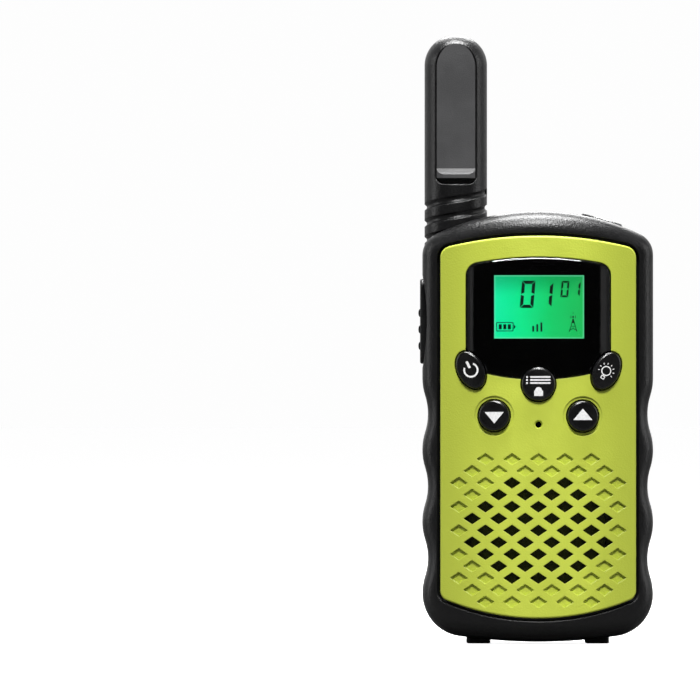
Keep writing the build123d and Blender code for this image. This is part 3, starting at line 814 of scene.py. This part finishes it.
@dataclass
class KeyMarks:
    """White marks printed on the five front keys."""

    face_radius: float = 57.4
    thick: float = 0.05
    sink: float = 0.04
    stroke: float = 0.42
    lean: float = 27.0

    def build(self, maker: PieceMaker, ink: bpy.types.Material) -> None:
        """Make every mark.

        Args:
            maker: Makes and places pieces.
            ink: The white ink.
        """
        def on_key(x: float) -> float:
            """The y of a mark's middle at x."""
            return maker.bow.depth(x, self.face_radius) - self.thick / 2 + self.sink

        marks = {
            "power": ("power_key", self.power(-16.13, 65.5)),
            "light": ("light_key", self.bulb(16.2, 65.3)),
            "menu": ("menu_key", self.menu(0.0, 62.2)),
            "down": ("down_key", self.arrow(-10.58, 54.15, -1)),
            "up": ("up_key", self.arrow(10.58, 54.95, 1)),
        }
        for name, (body, loops) in marks.items():
            maker.plate(f"{name}_mark", loops, on_key, self.thick, ink, body)

    def power(self, x: float, z: float) -> list[Loop]:
        """Open ring with a bar, leaning with the key.

        Args:
            x: Centre across.
            z: Centre up.

        Returns:
            The ring and the bar.
        """
        radius, reach, gap = 1.8, 1.45, 44.0
        top = 90 + self.lean
        turn = math.radians(top)
        ring = arc_band(x, z, radius, radius - self.stroke, top + gap, 360 - 2 * gap)
        stem = strip(x + reach * math.cos(turn), z + reach * math.sin(turn), 0.6, 1.75, -self.lean, 0.12)
        return [ring, stem]

    def bulb(self, x: float, z: float) -> list[Loop]:
        """Lamp outline with its cap and rays.

        Args:
            x: Centre across.
            z: Centre up.

        Returns:
            The lamp, its cap and its rays.
        """
        lean, cap_reach, ray_reach, rays, ray_step = 30, 1.72, 1.78, 8, 31
        loops = [disc(x, z, 1.2), disc(x, z, 0.95)]
        down = math.radians(-90 - lean)
        cap = (x + cap_reach * math.cos(down), z + cap_reach * math.sin(down))
        loops.append(strip(*cap, 1.0, 0.86, lean, 0.1))
        loops.append(strip(*cap, 0.62, 0.48, lean, 0.05))
        for i in range(rays):
            turn = math.radians(90 - lean + (i - (rays - 1) / 2) * ray_step)
            spot = (x + ray_reach * math.cos(turn), z + ray_reach * math.sin(turn))
            loops.append(strip(*spot, 0.2, 0.44, 90 - math.degrees(turn), 0.06))
        return loops

    def menu(self, x: float, z: float) -> list[Loop]:
        """Three list bars over a padlock.

        Args:
            x: Centre across.
            z: Centre up.

        Returns:
            The bars, their dots and the padlock.
        """
        rows = [z + 0.95 + 0.72 * i for i in (-1, 0, 1)]
        loops = [strip(x + 0.42, row, 4.9, 0.4, 0, 0.16) for row in rows]
        loops += [disc(x - 2.75, row, 0.24, 16) for row in rows]
        body_z = z - 2.15
        shackle = disc(x, body_z + 0.6, 0.82, 24, 0, 180)
        corners = ((-1.06, 0.6), (-1.06, -0.72), (1.06, -0.72), (1.06, 0.6))
        base = [(x + side, body_z + step) for side, step in corners]
        loops.append(shackle + base)
        return loops

    def arrow(self, x: float, z: float, way: int) -> list[Loop]:
        """Solid arrowhead pointing up or down.

        Args:
            x: Centre across.
            z: Centre up.
            way: 1 for up and -1 for down.

        Returns:
            The arrowhead.
        """
        half_w, half_h = 2.3, 1.36
        corners = [(x - half_w, z - way * half_h), (x + half_w, z - way * half_h), (x, z + way * half_h)]
        return [eased(corners, 0.1)]


@dataclass
class DisplayMarks:
    """Dark figures and signs on the display."""

    front: float = -13.03
    thick: float = 0.02
    slant: float = 0.087

    def build(self, maker: PieceMaker, ink: bpy.types.Material) -> None:
        """Make every sign.

        Args:
            maker: Makes and places pieces.
            ink: The dark ink.
        """
        def on_cell(x: float) -> float:
            """The y of the flat display, which is the same at every x."""
            return self.front

        signs = {
            "channel_tens": self.digit(-2.53, 83.6, 3.2, 6.5, 0.76, "abcdef"),
            "channel_units": self.digit(1.7, 83.5, 3.3, 5.8, 0.76, "bc"),
            "code_tens": self.digit(6.3, 84.85, 1.85, 3.9, 0.46, "abcdef"),
            "code_units": self.digit(9.0, 84.85, 1.85, 3.4, 0.46, "bc"),
            "battery_sign": self.battery(-7.95, 75.85),
            "signal_sign": self.bars(-1.22, 74.7),
            "mast_sign": self.mast(8.24, 74.7),
        }
        for name, loops in signs.items():
            maker.plate(name, loops, on_cell, self.thick, ink, "base")

    def digit(self, x: float, z: float, width: float, height: float, bar: float, lit: str) -> list[Loop]:
        """One slanted seven-bar figure.

        Args:
            x: Centre across.
            z: Centre up.
            width: Overall width.
            height: Overall height.
            bar: Thickness of a bar.
            lit: Which bars show, by their usual letters.

        Returns:
            One outline for each bar.
        """
        w, h, b, g = width / 2, height / 2, bar, bar * 0.12
        shapes = {
            "a": [(-w + g, h), (w - g, h), (w - b - g, h - b), (-w + b + g, h - b)],
            "d": [(-w + g, -h), (-w + b + g, -h + b), (w - b - g, -h + b), (w - g, -h)],
            "b": [(w, h - g), (w, g), (w - b, g + b * 0.4), (w - b, h - b - g)],
            "c": [(w, -g), (w, -h + g), (w - b, -h + b + g), (w - b, -g - b * 0.4)],
            "f": [(-w, h - g), (-w + b, h - b - g), (-w + b, g + b * 0.4), (-w, g)],
            "e": [(-w, -g), (-w + b, -g - b * 0.4), (-w + b, -h + b + g), (-w, -h + g)],
        }
        return [[(x + px + pz * self.slant, z + pz) for px, pz in shapes[key]] for key in lit]

    def battery(self, x: float, z: float) -> list[Loop]:
        """Battery outline with three blocks.

        Args:
            x: Centre across.
            z: Centre up.

        Returns:
            The outline, the blocks and the tip.
        """
        loops = [strip(x, z, 4.1, 2.2, 0, 0.25), strip(x, z, 3.7, 1.8, 0, 0.15)]
        loops += [strip(x - 1.08 + 1.08 * i, z, 0.72, 1.2) for i in range(3)]
        loops.append(eased([(x + 2.12, z - 0.6), (x + 2.12, z + 0.6), (x + 2.6, z)], 0.08))
        return loops

    def bars(self, x: float, z: float) -> list[Loop]:
        """Three rising bars."""
        return [strip(x + 0.97 * i, z + (1.35 + 0.42 * i) / 2, 0.44, 1.35 + 0.42 * i) for i in range(3)]

    def mast(self, x: float, z: float) -> list[Loop]:
        """Lattice mast drawn with thin bars, with its lamp on top.

        Args:
            x: Centre across.
            z: Foot of the mast.

        Returns:
            The mast's bars, waves and lamp.
        """
        legs = [strip(x - 0.45, z + 1.55, 0.17, 3.25, 15), strip(x + 0.45, z + 1.55, 0.17, 3.25, -15)]
        feet = [strip(x - 0.42, z + 0.52, 0.14, 1.35, 58), strip(x + 0.42, z + 0.52, 0.14, 1.35, -58)]
        rungs = [strip(x, z + 1.25, 0.82, 0.14), strip(x, z + 2.1, 0.42, 0.14)]
        waves = [arc_band(x, z + 3.5, 0.62, 0.47, start, 76) for start in (-38, 142)]
        return legs + feet + rungs + waves + [disc(x, z + 3.5, 0.24, 20), disc(x, z + 4.45, 0.13, 12)]


# ------------------------------------------------------------------ the whole


class Wardrobe:
    """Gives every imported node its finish."""

    @staticmethod
    def dress(nodes: dict[str, bpy.types.Object]) -> None:
        """Assign a finish to each node.

        Args:
            nodes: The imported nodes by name.
        """
        housing = GrainedPlastic("housing_black", linear(9, 9, 10), linear(6, 6, 7), 0.34, 0.42, 0.1, 0.4)
        # the lime faceplate darkens from 8 mm to 23 mm off centre: painted shade for light falling off at its bowed
        # edges
        lime = GrainedPlastic("faceplate_lime", linear(200, 213, 76), linear(192, 205, 70), 0.44, 0.42, 0.07,
                              0.3, painted_shade_from=8, painted_shade_to=23)
        grey = GrainedPlastic("antenna_grey", linear(70, 70, 71), linear(60, 60, 61), 0.5, 0.26, 0.05, 0.1)
        gloss_key = GlossPlastic("key_black", linear(8, 8, 9), 0.22, 0.15)
        groups: dict[object, Iterable[str]] = {
            housing:
                ("front_shell", "rear_shell", "antenna_cover", "battery_door", "belt_clip", "clip_bracket",
                 "ptt_button", "headset_jack"),
            lime: ("faceplate",),
            grey: ("antenna_pad",),
            gloss_key: ("power_button", "light_button", "menu_button", "down_button", "up_button"),
            ClearPlastic("window_clear"): ("display_lens",),
            ClearPlastic("lamp_clear", ring_mm=0.7, ring_x=15.4, ring_y=0.5): ("torch_lens",),
            ClearPlastic("guide_clear", (0.75, 0.95, 0.85), 0.25): ("lcd_light_guide",),
            PrintedInk("mask_black", linear(3, 3, 4), 0.6, 0.0, 1.02): ("lens_mask",),
            BacklitDisplay("display_green", 0.17, 80.6, 21.3, 15.1): ("lcd_glass",),
            GlossPlastic("white_parts", linear(225, 225, 220), 0.3):
                ("lcd_holder", "backlight_leds", "antenna_core", "torch_led"),
            SoftRubber("rubber_black"):
                ("keypad_membrane", "zebra_connector", "mic_boot", "jack_cover", "rubber_feet"),
            FeltCloth("felt_black"):
                ("speaker_cloth", "speaker_gasket", "lens_gasket", "door_pad", "microphone"),
            CircuitBoard("board_green"): ("main_board",),
            GlossPlastic("chip_black", linear(30, 30, 32), 0.5): ("board_chips", "ptt_switch"),
            Metal("steel_plated", linear(196, 198, 202), linear(160, 162, 168), 0.28):
                ("clip_pin", "clip_spring", "clip_screws", "housing_screws", "board_screws",
                 "contact_springs", "contact_plates"),
            Metal("tin_bright", linear(205, 206, 208), linear(178, 180, 184), 0.22, (1.0, 1.0, 5.0)):
                ("rf_shield", "speaker_basket", "torch_reflector"),
            Metal("magnet_grey", linear(120, 122, 126), linear(92, 94, 98), 0.45): ("speaker_magnet",),
            Metal("copper_wire", linear(190, 110, 66), linear(150, 80, 48), 0.3): ("antenna_coil",),
            SoftRubber("cone_black", linear(34, 34, 36), 0.5): ("speaker_cone",),
            CellSleeve("cell_sleeve", 18.0, 43.0): ("aaa_cells",),
        }
        for finish, names in groups.items():
            material = finish.make()
            for name in names:
                mesh = nodes[name].data
                mesh.materials.clear()
                mesh.materials.append(material)
                LOG.info("dressed %s in %s", name, finish.name)


@dataclass(frozen=True)
class SoftBox:
    """A rectangular soft light, in metres and watts."""

    name: str
    place: Triple
    aim: Triple
    width: float
    height: float
    power: float

    def build(self) -> None:
        """Hang the light and point it at its aim."""
        light = bpy.data.lights.new(self.name, "AREA")
        light.shape = "RECTANGLE"
        light.size, light.size_y, light.energy = self.width, self.height, self.power
        lamp = bpy.data.objects.new(self.name, light)
        way = Vector(self.aim) - Vector(self.place)
        turn = way.to_track_quat("-Z", "Y").to_matrix().to_4x4()
        lamp.matrix_world = Matrix.Translation(self.place) @ turn
        bpy.context.scene.collection.objects.link(lamp)


@dataclass
class Studio:
    """Pale seamless floor, soft lights and the camera, in metres."""

    frame_width: float = 0.168
    distance: float = 3.0
    look_x: float = -0.045
    look_z: float = 0.0703
    sensor: float = 36.0
    front_dim: float = 0.015
    back_bright: float = 0.9
    dim_until: float = 0.1
    bright_from: float = 0.75
    backdrop: Colour = (0.985, 0.985, 0.985)
    floor_glow: float = 0.84
    floor_return: Colour = (0.045, 0.045, 0.045)

    def build(self) -> None:
        """Make the floor, the lights and the camera."""
        self.floor()
        self.world()
        for light in self.lights():
            light.build()
        self.camera()

    @staticmethod
    def lights() -> list[SoftBox]:
        """The lights over, before, behind and beside the radio.

        Returns:
            Every light of the studio.
        """
        middle, low = (0.0, 0.0, 0.07), (0.0, 0.0, 0.06)
        return [
            SoftBox("top_light", (0.0, 0.0, 1.0), (0.0, 0.0, 0.05), 0.6, 0.36, 26.0),
            SoftBox("front_light", (0.0, -1.0, 1.3), low, 0.4, 0.3, 32.0),
            SoftBox("back_light", (0.0, 1.2, 0.9), low, 0.8, 0.5, 12.0),
            SoftBox("left_strip_light", (-1.16, -1.66, 0.2), middle, 0.22, 1.4, 0.28),
            SoftBox("right_strip_light", (1.16, -1.66, 0.2), middle, 0.22, 1.4, 0.28),
            SoftBox("left_light", (-1.1, 0.0, 0.3), middle, 0.3, 0.8, 2.5),
            SoftBox("right_light", (1.1, 0.0, 0.3), middle, 0.3, 0.8, 2.5),
        ]

    def floor(self) -> None:
        """Wide pale floor that looks pale but sends little light back, so black plastic stays black."""
        work = bmesh.new()
        rings = [(0.5, 0.0), (1.5, 0.0), (4.0, 0.0), (8.0, 0.002)]
        steps = 48
        rows = [[work.verts.new((*spot, height)) for spot in disc(0.0, 0.0, radius, steps)]
                for radius, height in rings]
        work.faces.new(rows[0])
        for inner, outer in zip(rows, rows[1:]):
            for i in range(steps):
                k = (i + 1) % steps
                work.faces.new((inner[i], outer[i], outer[k], inner[k]))
        mesh = bpy.data.meshes.new("studio_floor")
        work.to_mesh(mesh)
        work.free()
        shader = Shader("studio_paper")
        fibre = shader.noise(1.5, 4.0)
        tint = shader.blend(fibre, linear(200, 200, 200), linear(208, 208, 208))
        weave = shader.relief(fibre, 0.01, None, 0.1)
        seen = shader.node("ShaderNodeBsdfPrincipled", None, {
            "Base Color": tint, "Roughness": 0.9, "Normal": weave, "Emission Color": (1.0, 1.0, 1.0, 1.0),
            "Emission Strength": self.floor_glow})
        unseen = shader.node("ShaderNodeBsdfPrincipled", None, {
            "Base Color": (*self.floor_return, 1.0), "Roughness": 0.9, "Normal": weave})
        rays = shader.node("ShaderNodeLightPath").out("Is Camera Ray")
        pick = shader.node("ShaderNodeMixShader", None, {0: rays, 1: unseen.out(), 2: seen.out()})
        shader.node("ShaderNodeOutputMaterial", None, {"Surface": pick.out()})
        mesh.materials.append(shader.material)
        floor = bpy.data.objects.new("studio_floor", mesh)
        bpy.context.scene.collection.objects.link(floor)

    def world(self) -> None:
        """White surroundings, dimmer in front so that black parts stay deep."""
        world = bpy.data.worlds.new("studio_world")
        world.use_nodes = True
        sheet = NodeSheet(world.node_tree)
        way = sheet.node("ShaderNodeTexCoord").out("Generated")
        backward = sheet.node("ShaderNodeSeparateXYZ", None, {0: way}).out("Y")
        strength = sheet.node("ShaderNodeMapRange", {"interpolation_type": "SMOOTHSTEP"}, {
            0: backward, 1: self.dim_until, 2: self.bright_from, 3: self.front_dim, 4: self.back_bright})
        room = sheet.node("ShaderNodeBackground", None, {"Strength": strength.out()})
        seen = sheet.node("ShaderNodeBackground", None, {"Color": (*self.backdrop, 1.0)})
        rays = sheet.node("ShaderNodeLightPath").out("Is Camera Ray")
        pick = sheet.node("ShaderNodeMixShader", None, {0: rays, 1: room.out(), 2: seen.out()})
        sheet.node("ShaderNodeOutputWorld", None, {"Surface": pick.out()})
        bpy.context.scene.world = world
        bpy.context.scene.view_settings.view_transform = "Standard"

    def camera(self) -> None:
        """A long lens looking straight at the front."""
        data = bpy.data.cameras.new("camera")
        data.sensor_width = self.sensor
        data.lens = self.sensor * self.distance / self.frame_width
        data.clip_start, data.clip_end = 0.1, 20.0
        camera = bpy.data.objects.new("camera", data)
        camera.location = (self.look_x, -self.distance, self.look_z)
        camera.rotation_euler = (math.pi / 2, 0.0, 0.0)
        bpy.context.scene.collection.objects.link(camera)
        bpy.context.scene.camera = camera


def main() -> None:
    """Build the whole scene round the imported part."""
    logging.basicConfig(level=logging.INFO, format="%(message)s")
    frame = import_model()
    Wardrobe.dress(frame["nodes"])
    # the white ink glows faintly (0.12): painted light that brightens the key marks
    white_ink = PrintedInk("mark_white", linear(236, 236, 236), 0.4, 0.12).make()
    dark_ink = PrintedInk("figure_dark", linear(4, 30, 22), 0.5).make()
    maker = PieceMaker()
    KeyMarks().build(maker, white_ink)
    DisplayMarks().build(maker, dark_ink)
    Studio().build()
    for name in maker.made:
        LOG.info("made %s", name)


if __name__ == "__main__":
    main()
